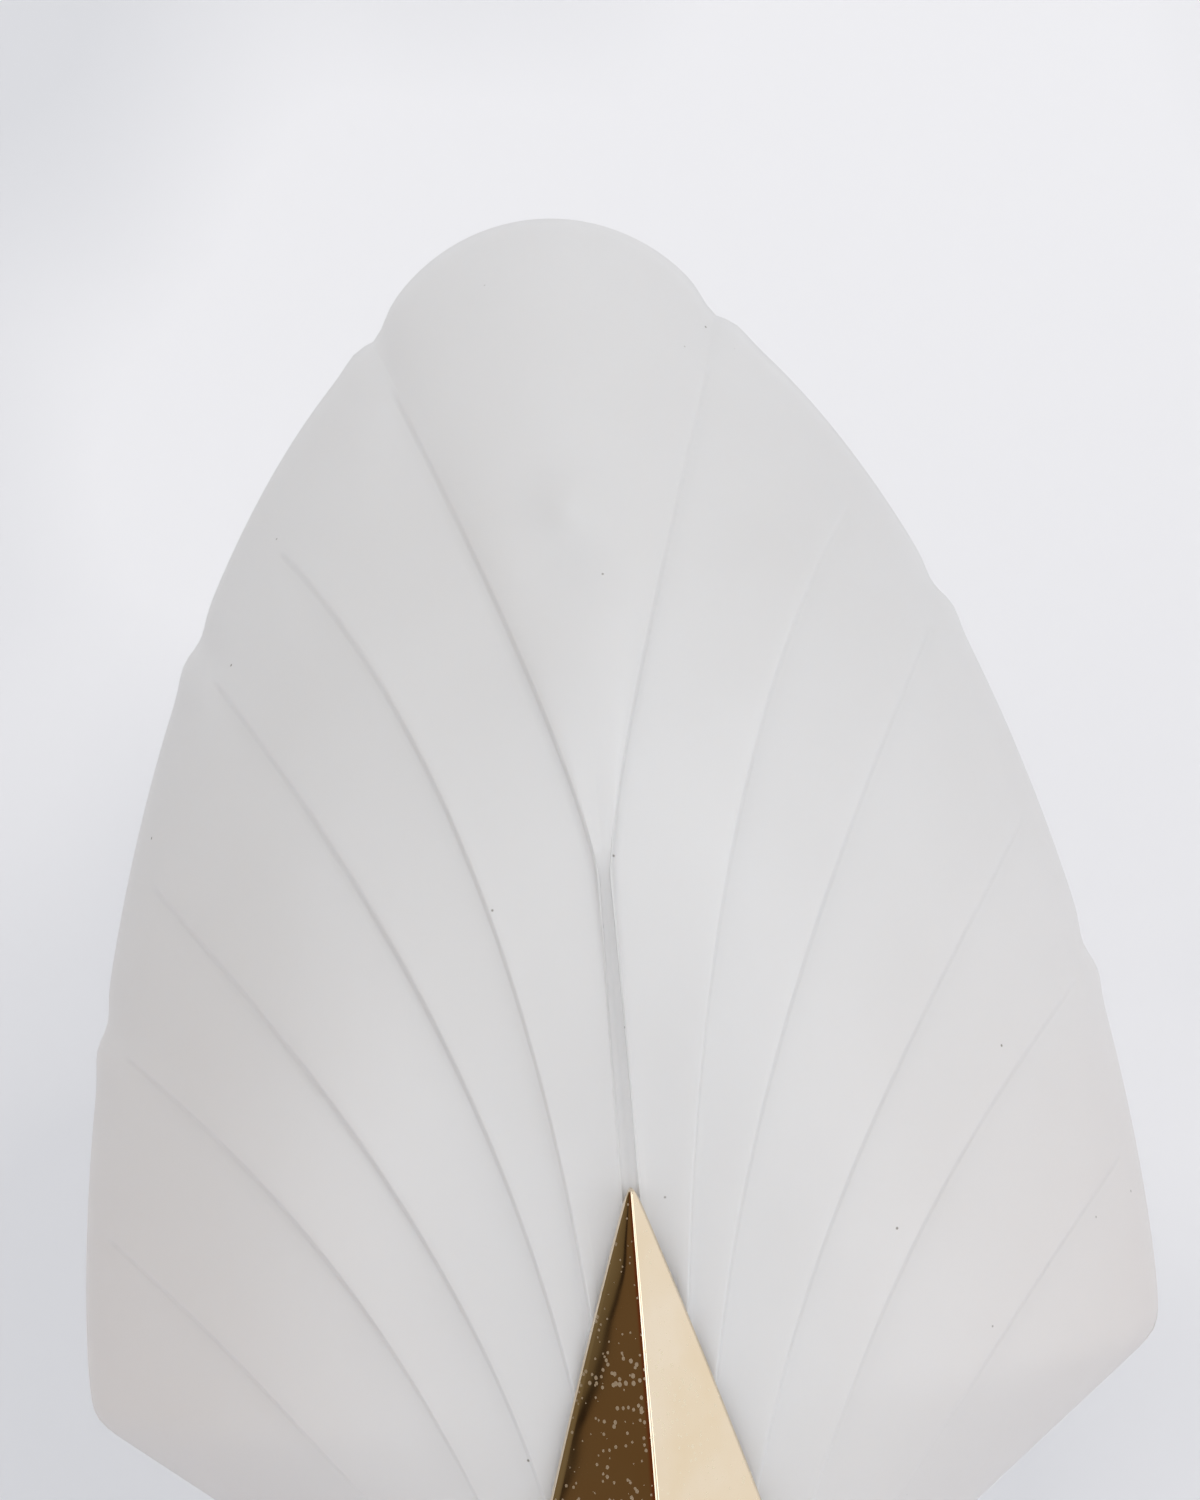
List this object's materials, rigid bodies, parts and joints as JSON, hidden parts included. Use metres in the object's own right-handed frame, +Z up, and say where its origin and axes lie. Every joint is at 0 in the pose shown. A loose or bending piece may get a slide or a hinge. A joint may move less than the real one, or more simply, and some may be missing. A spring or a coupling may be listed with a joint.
{
  "type": "wall sconce",
  "caption": "Wall sconce with a ribbed satin glass shell, held at its foot by a faceted brass pyramid over an upright lamp.",
  "frame": {"origin": "on the wall, at the middle of the wall plate and of its two fixing slots", "axes": "+X to the viewer's right, +Y into the wall, +Z up; the glass and the brass face -Y"},
  "size_m": [0.2938, 0.132, 0.4137],
  "materials": {
    "satin_glass": "satin, acid-etched outer face",
    "polished_brass": "mirror polished",
    "plain_brass": "turned and drawn, unpolished",
    "clear_silicone": "soft, matt",
    "zinc_steel": "satin zinc-white paint",
    "zinc_screw": "zinc plated",
    "grey_rubber": "matt",
    "white_plastic": "moulded, fine satin",
    "white_steatite": "unglazed",
    "socket_brass": "drawn sheet",
    "spring_bronze": "rolled strip",
    "lamp_solder": "soft solder",
    "lamp_vitrite": "fused black glass",
    "lamp_nickel": "rolled thread",
    "opal_glass": "soft white coating",
    "brown_sleeve": "extruded",
    "blue_sleeve": "extruded"
  },
  "bodies": {
    "fixture": {"glass_shell": "satin_glass", "pyramid_cover": "polished_brass", "cover_bridge": "plain_brass", "front_pad": "clear_silicone", "rear_pad": "clear_silicone", "clamp_sleeve": "clear_silicone", "thumb_screw": "plain_brass", "wall_plate": "zinc_steel", "cable_grommet": "grey_rubber", "carrier_arm": "zinc_steel", "arm_screws": "zinc_screw", "rest_strap": "zinc_steel", "rest_rivets": "zinc_screw", "rest_bumper": "clear_silicone", "nipple": "plain_brass", "nipple_nuts": "plain_brass", "holder_cap": "white_plastic", "holder_skirt": "white_plastic", "holder_disc": "white_steatite", "socket_shell": "socket_brass", "centre_contact": "spring_bronze", "terminal_block": "white_plastic", "terminal_screws": "zinc_screw", "block_rivet": "zinc_screw", "earth_washer": "plain_brass", "earth_screw": "zinc_screw", "live_lead": "brown_sleeve", "neutral_lead": "blue_sleeve"},
    "lamp": {"lamp_contact": "lamp_solder", "lamp_insulator": "lamp_vitrite", "lamp_cap": "lamp_nickel", "bulb": "opal_glass"}
  },
  "joints": [
    {"name": "lamp_turn", "type": "hinge", "parent": "fixture", "child": "lamp", "pos_m": [0, -0.048, 0.03], "axis": [0, 0, 1], "range_deg": [0, 1080]}
  ]
}
